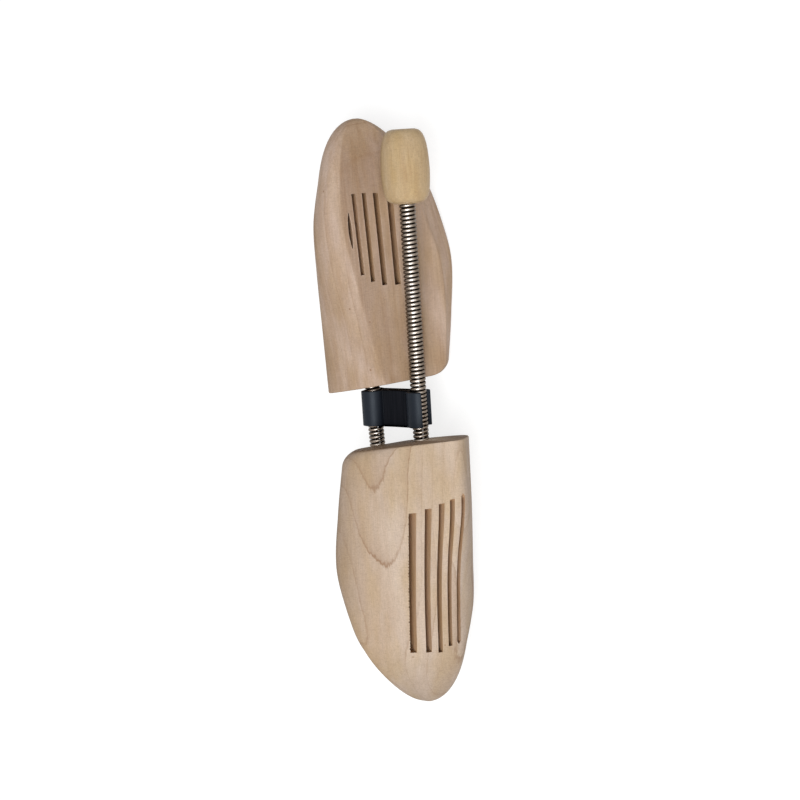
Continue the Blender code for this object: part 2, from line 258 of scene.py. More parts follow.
# Places along the block, as shares of LENGTH, and there the points (share of WIDTH, share of
# HEIGHT) from the sole's inner edge over the crest to its outer edge.
SECTION_PLACES = (0, 0.25, 0.45, 0.62, 0.78, 1)
SECTIONS = np.array((
    ((-0.055, 0), (0.140, 0.22), (0.275, 0.54), (0.215, 0.84), (0.088, 1.00),
     (-0.186, 0.74), (-0.396, 0.50), (-0.566, 0.25), (-0.526, 0.03)),
    ((0.040, 0), (0.190, 0.18), (0.292, 0.46), (0.233, 0.77), (0.102, 0.90),
     (-0.178, 0.65), (-0.438, 0.43), (-0.638, 0.24), (-0.558, 0.02)),
    ((0.105, 0), (0.242, 0.115), (0.318, 0.320), (0.258, 0.590), (0.080, 0.700),
     (-0.188, 0.565), (-0.453, 0.405), (-0.673, 0.231), (-0.544, 0.02)),
    ((0.150, 0), (0.265, 0.095), (0.317, 0.275), (0.264, 0.505), (0.066, 0.600),
     (-0.181, 0.510), (-0.412, 0.390), (-0.617, 0.234), (-0.452, 0.018)),
    ((0.145, 0.004), (0.232, 0.098), (0.269, 0.250), (0.216, 0.465), (0.028, 0.545),
     (-0.172, 0.475), (-0.354, 0.378), (-0.521, 0.240), (-0.350, 0.023)),
    ((0.155, 0.05), (0.235, 0.12), (0.275, 0.24), (0.210, 0.42), (0.000, 0.50),
     (-0.156, 0.46), (-0.277, 0.36), (-0.377, 0.24), (-0.277, 0.06)),
))
CORNER_PULL = np.array((0, 0, 0, 0, 0, 0.15, 0.6, 1, 1))

BACK_ROWS = (0, 0.00012, 0.00035, 0.0007, 0.0012)
BODY_START = 0.002
BODY_ROWS = 120
TOE_ROWS = 72
OVER_POINTS = 400
SOLE_POINTS = 120
AROUND = 240


def even_around(rings, count):
    """Each closed ring with its points set at even steps of length along it, and the lengths."""
    closed = np.concatenate([rings, rings[:, :1]], axis=1)
    steps = np.linalg.norm(np.diff(closed, axis=1), axis=2)
    reach = np.concatenate([np.zeros((len(rings), 1)), np.cumsum(steps, axis=1)], axis=1)
    share = np.arange(count) / count
    even = [
        np.stack([np.interp(share * line[-1], line, ring[:, k]) for k in range(2)], -1)
        for line, ring in zip(reach, closed)
    ]
    return np.array(even), reach[:, -1]


def soften(rings, lengths, width):
    """Each ring blurred along itself by a bell curve of this width, which rounds its corners.

    The blur is done on the ring's waves: wave number k is kept to exp(-(2 pi k w / L)^2 / 2),
    with w the width and L the ring's length.
    """
    waves = np.fft.fft(rings, axis=1)
    number = np.fft.fftfreq(rings.shape[1], 1 / rings.shape[1])
    kept = np.exp(-((2 * math.pi * number[None] * width / lengths[:, None]) ** 2) / 2)
    return np.fft.ifft(waves * kept[..., None], axis=1).real


def set_back(distance, radius):
    """How far a quarter round stands back at this distance from the edge.

    It is r - sqrt(r^2 - (r - d)^2), and 0 beyond the radius r.
    """
    inside = np.clip(radius - distance, 0, None)
    return radius - np.sqrt(radius**2 - inside**2)


def row_places():
    """Distance of each row from the back: close over the rounded edge, then even, then the toe.

    Over the toe it is start + (length - start) sin a, with even angles a. The last row stops a
    quarter of a step before the tip, where its points would fall together.
    """
    body = np.linspace(BODY_START, TOE_START, BODY_ROWS)
    angle = np.linspace(0, math.pi / 2, TOE_ROWS)[1:]
    toe = TOE_START + (LENGTH - TOE_START) * np.sin(angle)
    toe[-1] += (toe[-2] - toe[-1]) / 4
    return np.concatenate([BACK_ROWS, body, toe])


def block_rings(distance):
    """A closed section (around, 2) for each distance, over the crest and straight along the sole.

    The back's outer corner is pulled in as a quarter round. From TOE_START on, a section shrinks
    towards TOE_CORE to (1 - s^p)^(1/p) of its size, with s from 0 to 1 at the tip, and p one
    power across and another upwards.
    """
    along = np.interp(distance / LENGTH, SECTION_PLACES, np.arange(len(SECTIONS)))
    sections = catmull(SECTIONS, along) * (WIDTH, HEIGHT)
    sections[:, :, 0] += set_back(distance, CORNER_RADIUS)[:, None] * CORNER_PULL
    at = np.linspace(0, SECTIONS.shape[1] - 1, OVER_POINTS)
    over = catmull(sections.transpose(1, 0, 2), at).transpose(1, 0, 2)
    under = np.linspace(0, 1, SOLE_POINTS + 2)[1:-1, None]
    under = over[:, -1:] * (1 - under) + over[:, :1] * under
    rings, lengths = even_around(np.concatenate([over, under], axis=1), AROUND)
    share = np.clip((distance - TOE_START) / (LENGTH - TOE_START), 0, 1)[:, None]
    close = ((1 - share**TOE_POWERS) ** (1 / TOE_POWERS))[:, None, :]
    return TOE_CORE + (soften(rings, lengths, EDGE_SOFTNESS) - TOE_CORE) * close


def block_grid():
    """Points (row, around, 3) of the block, for the right foot, with its back at y = 0.

    Each ring's points are first set back towards its middle, to round the back's edge. Then they
    move forward by x tan(skew) + (z - spring height) tan(lean), which slants the back. That move
    fades along the block as (1 - d / length)^2.
    """
    distance = row_places()
    rings = block_rings(distance)
    centre = rings.mean(axis=1, keepdims=True)
    outward = rings - centre
    reach = np.linalg.norm(outward, axis=2, keepdims=True)
    rings = centre + outward * (1 - set_back(distance, BACK_ROUNDING)[:, None, None] / reach)
    x, z = rings[..., 0], rings[..., 1]
    slant = x * math.tan(BACK_SKEW) + (z - SPRING_HEIGHT) * math.tan(BACK_LEAN)
    fading = (1 - distance / LENGTH)[:, None] ** 2
    return np.stack([x, slant * fading - distance[:, None], z], -1)


grid = block_grid()
print("block grid", grid.shape, "size", np.ptp(grid, axis=(0, 1)).round(4))

# %% [markdown]
# ## Saw kerfs and the spring's hole
#
# Five narrow cuts let the block breathe. A round saw blade plunged in from above makes each
# one, so it is long on the upper side and short at the sole, and the last one, near the
# inner side, only just comes through. Cuts like these are the one place where a Boolean is
# right. The first cutter is five thin plates with a round lower end, joined into one mesh,
# the second is a row of small nicks where the saw tore the fibres at the widest cut, and the
# third is the drilled hole. The cut faces come into material slots of their own: sawn wood
# has another colour than a sanded side, and the nicks' faces are painted dark as shade.

# %% Cutters
KERF_WIDTH = 0.0029
KERF_RADIUS = 0.036
KERF_CENTRE = 0.0632
KERF_REACH = 0.0067
KERF_SLANT = math.radians(15.6)
KERF_LEAN = math.radians(6.3)
KERF_FAN = math.radians(2)
RIM_WEDGE = 0.0012
SHALLOW = 0.5
OVERRUN = 0.004
COIL_DIAMETER = 0.0078
SEAT_DEPTH = 0.012
FIT = 0.0003
BORE = COIL_DIAMETER / 2 + FIT / 3

# For each cut its place, as a share of WIDTH, and then its shares of the values above: width,
# radius, reach, centre, slant, lean and fan.
KERFS = (
    (-0.215, 1.00, 0.939, 1.135, 1.049, 0.51, 0.86, 0.15),
    (-0.115, 0.88, 0.960, 1.10, 1.038, 0.60, 0.77, 0.45),
    (-0.031, 0.74, 0.983, 0.99, 1.0285, 0.79, 0.67, 0.5),
    (0.0415, 0.69, 0.941, 0.87, 1.012, 1.14, 0.63, 0.8),
    (0.0915, 0.68, 0.949, 0.18, 0.976, 1.40, 1, 1),
)


def kerf_plate(place, width, long, reach, centre, slant, lean, fan, mirror):
    """Points and faces of one plate: the blade's rim below, straight sides above.

    The rim is the half circle (r cos a, r sin a), with a from 180 to 360 degrees, and its centre
    is r less the reach above the sole. The outline is set as four layers across the plate. For
    a shallow cut the two outer ones stop short of the rim, since the teeth's points alone come
    through there. Then the plate is slanted, leant about y, fanned about z and put in its place.
    """
    top = HEIGHT + OVERRUN
    angle = math.pi * (1 + np.linspace(0, 1, 49))
    rim = np.column_stack([np.cos(angle), np.sin(angle)])
    radius = KERF_RADIUS * long
    height = radius - KERF_REACH * reach
    half = KERF_WIDTH * width / 2
    tilt = KERF_LEAN * lean
    turn = KERF_FAN * fan
    layers = []
    wedge = RIM_WEDGE if reach < SHALLOW else 0
    for across, short in ((-half, wedge), (-half / 9, 0), (half / 9, 0), (half, wedge)):
        blade = radius - short
        outline = np.vstack([[(blade, top), (-blade, top)], rim * blade])
        along = outline[:, 0] + outline[:, 1] * math.tan(KERF_SLANT * slant)
        x = across * math.cos(tilt) + outline[:, 1] * math.sin(tilt)
        z = outline[:, 1] * math.cos(tilt) - across * math.sin(tilt)
        turned_x = x * math.cos(turn) - along * math.sin(turn)
        turned_y = x * math.sin(turn) + along * math.cos(turn)
        layers.append(np.column_stack([turned_x, turned_y, z]))
    side = WIDTH * place + height * math.tan(tilt)
    points = (np.vstack(layers) + (side, -KERF_CENTRE * centre, height)) * (mirror, 1, 1)
    count = len(layers[0])
    return points, [list(range(count)), list(range(3 * count, 4 * count))] + grid_faces(4, count)


def joined(pieces):
    """Several (points, faces) as one."""
    points, faces, start = [], [], 0
    for more, their_faces in pieces:
        points.append(more)
        faces += [tuple(int(k) + start for k in face) for face in their_faces]
        start += len(more)
    return np.vstack(points), faces


def drum(radius, start, end, sides=64):
    """A closed cylinder along y, from two rings (r cos a, y, r sin a)."""
    angle = 2 * math.pi * np.arange(sides) / sides
    ring = np.column_stack([radius * np.cos(angle), 0 * angle, radius * np.sin(angle)])
    points = np.vstack([ring + (0, start, 0), ring + (0, end, 0)])
    step = np.arange(sides)
    after = (step + 1) % sides
    walls = np.column_stack([step, after, after + sides, step + sides])
    return points, [step.tolist(), (step + sides).tolist()] + walls.tolist()


# %% Torn edge of the widest cut
NICKS = 44
NICK_LEVEL = 0.012
NICK_SIZES = (0.0002, 0.0002, 0.0004), (0.0010, 0.0007, 0.0010)
OCTAHEDRON = (
    (0, 1, 2), (1, 3, 2), (3, 4, 2), (4, 0, 2), (1, 0, 5), (3, 1, 5), (4, 3, 5), (0, 4, 5),
)


def torn_edge(row, mirror):
    """Small nicks along the outer edge of a kerf, where the saw tore the fibres.

    Each nick is an octahedron of a size drawn at random. It is set where the plate's outer face
    meets the block's upper side: from a point on the plate's top edge, the height is stepped to
    that of the nearest point of the block's grid, along the plate's slanting side.
    """
    points, _ = kerf_plate(*row, mirror)
    face = points[: len(points) // 4] * (mirror, 1, 1)
    left, right = face[1], face[0]
    upper = grid.reshape(-1, 3)
    upper = upper[upper[:, 2] > NICK_LEVEL]
    chance = np.random.default_rng(7)
    pieces = []
    for share in np.linspace(0.03, 0.97, NICKS):
        spot = left * (1 - share) + right * share
        for _ in range(4):
            near = upper[np.argmin(np.hypot(upper[:, 0] - spot[0], upper[:, 1] - spot[1]))]
            rise = (near[2] - spot[2]) / (face[1, 2] - face[2, 2])
            spot = spot + (face[1] - face[2]) * rise
        size = chance.uniform(*NICK_SIZES)
        corners = np.vstack([np.diag(size), -np.diag(size)])
        pieces.append(((spot + corners) * (mirror, 1, 1), OCTAHEDRON))
    return joined(pieces)


print("nicks along the widest cut:", NICKS)

# %% Cutting the blocks
SOLE_TURN = (0.90, 0.98)
BACK_TURN = (0.75, 0.95)


def subtract(piece, cutter, slot_number):
    """Takes the cutter from the piece, and keeps the result as the piece's mesh.

    The piece and the cutter have three material slots, and the cut faces come into the one asked.
    """
    add_slots(cutter)
    chosen = np.full(len(cutter.data.polygons), slot_number)
    cutter.data.polygons.foreach_set("material_index", chosen)
    modifier = piece.modifiers.new("cut", "BOOLEAN")
    modifier.operation = "DIFFERENCE"
    modifier.solver = "EXACT"
    modifier.object = cutter
    modifier.material_mode = "INDEX"
    evaluated = piece.evaluated_get(bpy.context.evaluated_depsgraph_get())
    result = bpy.data.meshes.new_from_object(evaluated)
    piece.modifiers.clear()
    piece.data = result
    bpy.data.objects.remove(cutter)


def add_slots(piece):
    """Three empty material slots: outside, sawn or drilled, and the nicks, painted in shade."""
    for _ in range(3):
        piece.data.materials.append(None)


def mark_sides(mesh):
    """Stores how squarely each point faces down, 1 on the sole, and back, 1 on the end grain.

    It is (n - low) / (high - low), kept between 0 and 1, with n the downward or backward part
    of the normal.
    """
    normals = np.empty(len(mesh.vertices) * 3)
    mesh.vertex_normals.foreach_get("vector", normals)
    down, back = -normals[2::3], normals[1::3]
    for name, part, (low, high) in (("sole", down, SOLE_TURN), ("end_grain", back, BACK_TURN)):
        value = np.clip((part - low) / (high - low), 0, 1)
        mesh.attributes.new(name, "FLOAT", "POINT").data.foreach_set("value", value)


def make_block(letter):
    """The block's grid, mirrored for the left foot, cut by its kerfs and its hole, and placed."""
    mirror = MIRROR[letter]
    rows, around = grid.shape[:2]
    points = grid.reshape(-1, 3) * (mirror, 1, 1)
    piece = mesh_piece(f"block_{SIDES[letter]}", points, closed_faces(rows, around))
    add_slots(piece)
    kerfs = mesh_piece("kerfs", *joined([kerf_plate(*row, mirror) for row in KERFS]))
    subtract(piece, kerfs, 1)
    subtract(piece, mesh_piece("nicks", *torn_edge(KERFS[0], mirror)), 2)
    place = block_place(letter)
    to_block = np.linalg.inv(place) @ tree_place(letter)[0]
    hole = mesh_piece("hole", *drum(BORE, -SEAT_DEPTH - FIT, OVERRUN), to_block)
    subtract(piece, hole, 1)
    mark_sides(piece.data)
    piece.data.transform(Matrix(place.tolist()))
    shade(piece.data, 35)
    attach(piece, f"{SIDES[letter]}_tree_block")
    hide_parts(f"forefoot_block_{letter}")
    print(piece.name, len(piece.data.polygons), "faces")
    return piece


blocks = {letter: make_block(letter) for letter in "ab"}

# %% [markdown]
# ## The spring
#
# The spring is drawn steel wire wound turn against turn, so that it stays straight until it
# is bent hard. The centre line is a helix, and the wire is a circle carried along it: one
# direction of the grid runs along the wire and the other around it. Each spring is made in
# two straight lengths that meet in the middle. The stretch where each half would bend is
# worked out, the first from a little beyond the clip, so that a bowed spring clears the
# other block.

# %% Coil springs
WIRE = 0.00172
PITCH = 0.00192
STRAIGHT_BEYOND_CLIP = 0.005
STEPS_PER_TURN = 36
WIRE_SIDES = 12
# The turn of the line along which the highlight is painted.
HIGHLIGHT_TURN = math.radians(13.7)


def coil(start, end):
    """Points and faces of a wire wound about y from start to end, right-handed.

    The centre line is (-R cos a, y, R sin a), with the angle a = 2 pi y / pitch.
    Around it, the wire's circle is spanned by the outward direction and the direction across
    the wire, which is its own direction cross the outward one.
    """
    count = int(round((end - start) / PITCH * STEPS_PER_TURN)) + 1
    y = np.linspace(start, end, count)
    angle = 2 * math.pi * y / PITCH
    radius = (COIL_DIAMETER - WIRE) / 2
    outward = np.column_stack([-np.cos(angle), 0 * angle, np.sin(angle)])
    slope = np.full(count, PITCH / (2 * math.pi))
    heading = np.column_stack([radius * np.sin(angle), slope, radius * np.cos(angle)])
    heading /= np.linalg.norm(heading, axis=1)[:, None]
    across = np.cross(heading, outward)
    turn = 2 * math.pi * np.arange(WIRE_SIDES) / WIRE_SIDES
    circle = np.cos(turn)[:, None] * outward[:, None] + np.sin(turn)[:, None] * across[:, None]
    centre = radius * outward + np.column_stack([0 * y, y, 0 * y])
    points = (centre[:, None] + circle * WIRE / 2).reshape(-1, 3)
    return points, closed_faces(count, WIRE_SIDES)


def mark_wire(mesh, letter):
    """Stores two marks that the steel's finish reads, and that stay with the wire as it bends.

    The crown is 1 on the wire's outer side and -1 towards the axis. The second mark is
    |p . u| / R, with p the point from the spring's axis, R the spring's radius, and u the tree's
    upward direction turned a little to the outer side of the foot. It is 1 on the spring's upper
    and lower line, where a highlight is painted, and it falls towards the flanks, painted in shade.
    """
    around = np.cos(2 * math.pi * np.arange(WIRE_SIDES) / WIRE_SIDES)
    crown = mesh.attributes.new("crown", "FLOAT", "POINT")
    crown.data.foreach_set("value", np.tile(around, len(mesh.vertices) // WIRE_SIDES))
    points = np.empty(len(mesh.vertices) * 3)
    mesh.vertices.foreach_get("co", points)
    place = tree_place(letter)[0]
    upwards = (-MIRROR[letter] * math.sin(HIGHLIGHT_TURN), 0, math.cos(HIGHLIGHT_TURN))
    upwards = place[:3, :3] @ upwards
    height = (points.reshape(-1, 3) - place[:3, 3]) @ upwards / (COIL_DIAMETER / 2)
    highlight_line = mesh.attributes.new("highlight_line", "FLOAT", "POINT")
    highlight_line.data.foreach_set("value", np.abs(height))


def make_spring(letter):
    """Two straight lengths of coil, which meet in the middle of the stretch beyond the clip."""
    side = SIDES[letter]
    place, bow_start = tree_place(letter)
    middle = (bow_start + FREE_LENGTH) / 2
    bend_start = bow_start + STRAIGHT_BEYOND_CLIP
    block, spring, knob = (f"{side}_tree_{part}" for part in ("block", "spring", "knob"))
    halves = []
    for name, start, end, first, second, bend in (
        ("front", WIRE / 2 - SEAT_DEPTH, middle, block, spring, (bend_start, middle)),
        ("heel", middle, FREE_LENGTH + SEAT_DEPTH - WIRE / 2, spring, knob, (middle, FREE_LENGTH)),
    ):
        piece = mesh_piece(f"spring_{side}_{name}", *coil(start, end), place, 60)
        mark_wire(piece.data, letter)
        bend = [tuple(place[:3, 3] + place[:3, 1] * y) for y in bend]
        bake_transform(piece)
        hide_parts(f"coil_spring_{letter}")
        halves.append(piece)
        turns = round((end - start) / PITCH, 1)
        print(piece.name, turns, "turns,", len(piece.data.polygons), "faces")
    return halves


springs = {letter: make_spring(letter) for letter in "ab"}

# %% [markdown]
# ## The heel knob
#
# The knob is turned on a lathe, so it is a profile carried round an axis. The profile
# starts beside the axis at the bottom of the drilled hole, comes out along its wall, goes
# round the shoulders, and returns to the axis over the flat heel end.

# %% Heel knobs
KNOB_DIAMETER = 0.0228
KNOB_LENGTH = 0.034
FLAT_RING = 0.004
BORE_BEVEL = (0.0006, 0.0005)
NEAR_AXIS = 0.0002

# Points of the outside, as shares of KNOB_LENGTH and of half of KNOB_DIAMETER.
KNOB = np.array((
    (0, 0.50), (0.035, 0.75), (0.10, 0.89), (0.22, 0.965), (0.42, 1.0),
    (0.62, 0.98), (0.79, 0.92), (0.91, 0.81), (0.975, 0.66), (1, 0.48),
))


def revolve(profile, sides):
    """Points and faces of the (along y, radius) profile turned about y: (r cos a, y, r sin a)."""
    angle = 2 * math.pi * np.arange(sides) / sides
    y, radius = profile[:, 0, None], profile[:, 1, None]
    points = np.stack([radius * np.cos(angle), y + 0 * angle, radius * np.sin(angle)], -1)
    return points.reshape(-1, 3), closed_faces(len(profile), sides)


def make_knob(letter):
    """The turned knob, on its spring's end."""
    side = SIDES[letter]
    outside = catmull(KNOB, np.linspace(0, len(KNOB) - 1, 120)) * (KNOB_LENGTH, KNOB_DIAMETER / 2)
    bottom = SEAT_DEPTH + FIT
    deep, wide = BORE_BEVEL
    inside = (bottom, NEAR_AXIS), (bottom, BORE), (deep, BORE), (0, BORE + wide)
    flat = (KNOB_LENGTH, FLAT_RING), (KNOB_LENGTH, NEAR_AXIS)
    profile = np.vstack([inside, outside, flat])
    profile[:, 0] += FREE_LENGTH
    piece = mesh_piece(f"knob_{side}", *revolve(profile, 128), tree_place(letter)[0], 50)
    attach(piece, f"{side}_tree_knob")
    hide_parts(f"heel_knob_{letter}")
    print(piece.name, len(piece.data.polygons), "faces")
    return piece


knobs = {letter: make_knob(letter) for letter in "ab"}

# %% [markdown]
# ## The double clip
#
# The clip is moulded in one: two open channels back to back, joined by a web. Its outline is
# made of arcs and is blurred a little, as the block's sections are, which rounds its lips and
# fills the corners beside the web. Towards both ends the outline shrinks along a quarter
# circle, so the ends are rounded too.

# %% Double clip
CLIP_SPACING = 0.025
CLIP_WALL = 0.002
CLIP_WEB = 0.003
CLIP_MOUTH = math.radians(50)
CLIP_EDGE = 0.0004
CLIP_AROUND = 900


def clip_outline(count):
    """The outline across the two channels, as even points.

    Each channel is three arcs (r cos a, r sin a) about its spring: from the web round the
    outside to the mouth, back along the inside to the mouth's other lip, and round to the web.
    """
    inner = COIL_DIAMETER / 2 + FIT
    outer = inner + CLIP_WALL
    join = math.pi - math.asin(CLIP_WEB / 2 / outer)
    right = []
    for radius, start, end in (
        (outer, -join, -CLIP_MOUTH),
        (inner, -CLIP_MOUTH, CLIP_MOUTH - 2 * math.pi),
        (outer, CLIP_MOUTH, join),
    ):
        angle = np.linspace(start, end, 120)
        right.append(np.column_stack([radius * np.cos(angle), radius * np.sin(angle)]))
    right = np.vstack(right) + (CLIP_SPACING / 2, 0)
    rings, lengths = even_around(np.vstack([right, -right])[None], count)
    return soften(rings, lengths, CLIP_EDGE / 2)[0]


def make_clip():
    """The clip's outline carried along the springs, with both ends rounded.

    Over the rounding the outline is inset by e (1 - sin a) at e (1 - cos a) from the end, with e
    the edge's radius and a from 0 to 90 degrees.
    """
    ring = clip_outline(CLIP_AROUND)
    heading = np.roll(ring, -1, axis=0) - np.roll(ring, 1, axis=0)
    heading /= np.linalg.norm(heading, axis=1)[:, None]
    outward = np.column_stack([heading[:, 1], -heading[:, 0]])
    quarter = np.linspace(0, math.pi / 2, 7)
    inset = CLIP_EDGE * (1 - np.sin(quarter))
    along = CLIP_LENGTH / 2 - CLIP_EDGE * (1 - np.cos(quarter))
    inset = np.concatenate([inset, inset[::-1]])
    along = np.concatenate([along, -along[::-1]])
    layers = ring[None] - inset[:, None, None] * outward[None]
    y = np.broadcast_to(along[:, None], layers.shape[:2])
    points = np.stack([layers[..., 0], y, layers[..., 1]], -1).reshape(-1, 3)
    place = np.eye(4)
    place[:3, 0] = unit(np.array(joints["right_tree_off_clip"]["axis"]))
    place[:3, 1] = place_a[:3, 1]
    place[:3, 2] = np.cross(place[:3, 0], place[:3, 1])
    place[:3, 3] = pair_centre
    piece = mesh_piece("clip", points, closed_faces(len(along), len(ring)), place, 35)
    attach(piece, "clip")
    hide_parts("double_clip")
    print(piece.name, len(piece.data.polygons), "faces")
    return piece, place


clip, clip_place = make_clip()

# %% [markdown]
# ## Finishes
#
# Each finish is built from nodes. The wood's pattern belongs to the block, not to the room,
# so a Mapping node turns object coordinates back into the block's own directions, in
# millimetres, and everything after it is written in those. A few short helpers make the
# nodes that every finish uses.

# %% Node helpers
def start_material(name, place):
    """A new material, and its graph, shader and coordinates in the piece's own millimetres."""
    made = bpy.data.materials.new(name)
    made.use_nodes = True
    graph = made.node_tree
    back = np.linalg.inv(place)
    coordinates = graph.nodes.new("ShaderNodeTexCoord")
    mapping = graph.nodes.new("ShaderNodeMapping")
    mapping.inputs["Scale"].default_value = (1000, 1000, 1000)
    mapping.inputs["Rotation"].default_value = Matrix(back[:3, :3].tolist()).to_euler()
    mapping.inputs["Location"].default_value = tuple(back[:3, 3] * 1000)
    graph.links.new(coordinates.outputs["Object"], mapping.inputs["Vector"])
    return made, graph, graph.nodes["Principled BSDF"], mapping.outputs["Vector"]


def attribute(graph, name):
    """A number stored on the mesh under this name, or 0 where there is none."""
    node = graph.nodes.new("ShaderNodeAttribute")
    node.attribute_name = name
    return node.outputs["Fac"]


def separate(graph, vector):
    """The vector's x, y and z."""
    node = graph.nodes.new("ShaderNodeSeparateXYZ")
    graph.links.new(vector, node.inputs["Vector"])
    return node.outputs


def scaled(graph, vector, scale):
    """The vector with its x, y and z multiplied by these three numbers."""
    mapping = graph.nodes.new("ShaderNodeMapping")
    mapping.inputs["Scale"].default_value = scale
    graph.links.new(vector, mapping.inputs["Vector"])
    return mapping.outputs["Vector"]


def noise(graph, own, scale, detail=2.0, roughness=0.5, distortion=0.0):
    """Noise about 0.5, with the scale as cells for each millimetre along x, y and z."""
    node = graph.nodes.new("ShaderNodeTexNoise")
    node.inputs["Scale"].default_value = 1
    node.inputs["Detail"].default_value = detail
    node.inputs["Roughness"].default_value = roughness
    node.inputs["Distortion"].default_value = distortion
    graph.links.new(scaled(graph, own, scale), node.inputs["Vector"])
    return node.outputs["Fac"]


# %% Node helpers for numbers and colours
def calc(graph, operation, *values):
    """A Math node: the values are numbers or sockets. MULTIPLY_ADD is a times b plus c."""
    node = graph.nodes.new("ShaderNodeMath")
    node.operation = operation
    for slot_number, value in enumerate(values):
        if isinstance(value, (int, float)):
            node.inputs[slot_number].default_value = value
        else:
            graph.links.new(value, node.inputs[slot_number])
    return node.outputs[0]


def ramp(graph, value, stops):
    """A Color Ramp with these (place, colour) stops. A single number is a grey."""
    node = graph.nodes.new("ShaderNodeValToRGB")
    elements = node.color_ramp.elements
    while len(elements) < len(stops):
        elements.new(0.5)
    for element, (place, colour) in zip(elements, stops):
        element.position = place
        element.color = (*(colour if isinstance(colour, tuple) else (colour,) * 3), 1)
    graph.links.new(value, node.inputs["Fac"])
    return node.outputs["Color"]


def fade(graph, value, start, end):
    """From 0 at start to 1 at end: (value - start) / (end - start), kept between 0 and 1."""
    share = calc(graph, "MULTIPLY_ADD", value, 1 / (end - start), start / (start - end))
    return ramp(graph, share, ((0.0, 0.0), (1.0, 1.0)))


def blend_colours(graph, factor, first, second, mode="MIX"):
    """A Mix node on colours: first where the factor is 0, second where it is 1."""
    node = graph.nodes.new("ShaderNodeMix")
    node.data_type = "RGBA"
    node.blend_type = mode
    node.clamp_factor = True
    for number, value in ((0, factor), (6, first), (7, second)):
        socket = node.inputs[number]
        if isinstance(value, tuple):
            socket.default_value = (*value, 1)
        elif isinstance(value, (int, float)):
            socket.default_value = value
        else:
            graph.links.new(value, socket)
    return node.outputs[2]


def darken(graph, factor, colour, by):
    """The colour multiplied by another colour or grey, as far as the factor says."""
    return blend_colours(graph, factor, colour, by, "MULTIPLY")


def roughen(graph, shader, height, strength, distance):
    """A Bump node on this height, with its strength and its depth in metres."""
    bump = graph.nodes.new("ShaderNodeBump")
    bump.inputs["Strength"].default_value = strength
    bump.inputs["Distance"].default_value = distance
    graph.links.new(height, bump.inputs["Height"])
    graph.links.new(bump.outputs["Normal"], shader.inputs["Normal"])


# %% [markdown]
# ## Year rings
#
# A tree trunk is a stack of cones, so the year rings in a sawn board are nearly cylinders
# about the trunk's middle, the pith. Cut across at a slant, as these carved blocks are, they
# come out as long V shapes and arches. The pattern here is that very geometry: the distance
# from a slanting line, divided by the rings' spacing. A little noise makes the lines wander,
# and the darker end of each ring is thin and crisp on its outer side.

# %% Rings about the pith
RING_WANDER = 2.0
RING_FRAY = 0.55
LATE_WOOD = ((0.0, 0.9), (0.03, 0.0), (0.55, 0.0), (0.90, 0.26), (0.955, 0.42), (0.985, 1.0))


def pith_distance(graph, own, pith):
    """Distance in millimetres from the line x = px + sx y, z = pz + sz y, moved by two noises.

    The first noise is slow and bends whole rings. The second is fast across the fibres, and
    frays each line.
    """
    px, pz, sx, sz = pith
    x, y, z = separate(graph, own)
    across = calc(graph, "SUBTRACT", x, calc(graph, "MULTIPLY_ADD", y, sx, px))
    up = calc(graph, "SUBTRACT", z, calc(graph, "MULTIPLY_ADD", y, sz, pz))
    square = calc(graph, "ADD", calc(graph, "POWER", across, 2.0), calc(graph, "POWER", up, 2.0))
    distance = calc(graph, "SQRT", square)
    slow = calc(graph, "SUBTRACT", noise(graph, own, (0.04, 0.02, 0.04), 2), 0.5)
    fast = calc(graph, "SUBTRACT", noise(graph, own, (1.1, 0.25, 1.1), 3), 0.5)
    distance = calc(graph, "MULTIPLY_ADD", slow, RING_WANDER, distance)
    return calc(graph, "MULTIPLY_ADD", fast, RING_FRAY, distance)


def late_wood(graph, own, pith, first_ring, ring_width, strong_rings):
    """How dark the ring line is, 0 to 1, from the fraction of (distance - first) / width.

    The lines fade in places, by a slow noise, and beyond the clear rings.
    """
    distance = pith_distance(graph, own, pith)
    ring = calc(graph, "DIVIDE", calc(graph, "SUBTRACT", distance, first_ring), ring_width)
    late = ramp(graph, calc(graph, "FRACT", ring), LATE_WOOD)
    strength = noise(graph, own, (0.03, 0.014, 0.03), 1)
    late = calc(graph, "MULTIPLY", late, ramp(graph, strength, ((0.36, 0.4), (0.6, 1.0))))
    beyond = calc(graph, "SUBTRACT", ring, strong_rings - 0.7)
    return calc(graph, "MULTIPLY", late, ramp(graph, beyond, ((0.0, 1.0), (0.3, 0.6))))


# %% [markdown]
# ## Tones and marks
#
# Between the rings the tone changes slowly in patches. Painted shade deepens it on the sole's
# inner side and, on the right block, at the upper side's outer edge, and it darkens that
# block's long edges and toe as well. Beech is known by its short brown flecks, and these
# blocks also bear a few small dark spots.

# %% Tones and marks in the wood
# How far painted shade deepens the sole's inner side.
SOLE_SHADE_DEPTH = 0.42


def tone_and_shade_share(graph, own, inward, outer_shade_depth):
    """Share of the deep tone: a slow noise in patches, and painted shade on each side of the block
    in its own part.

    The painted shade on the sole rises from 24.5 mm outside the spring's line to 10.5 mm inside
    it, and on the upper side from 19 mm outside that line to 36.5 mm outside it. Inwards is +x
    if inward is 1.
    """
    x = separate(graph, own)["X"]
    sole = attribute(graph, "sole")
    upper = calc(graph, "SUBTRACT", 1.0, sole)
    # Painted shade on the sole's inner side and on the upper side's outer edge.
    inner = calc(graph, "MULTIPLY", fade(graph, x, -24.5 * inward, 10.5 * inward), SOLE_SHADE_DEPTH)
    outer = calc(graph, "MULTIPLY", fade(graph, x, -19 * inward, -36.5 * inward), outer_shade_depth)
    patches = noise(graph, own, (0.05, 0.02, 0.05), 3, 0.6)
    patches = calc(graph, "MULTIPLY_ADD", sole, inner, patches)
    patches = calc(graph, "MULTIPLY_ADD", upper, outer, patches)
    return fade(graph, patches, 0.34, 0.78)


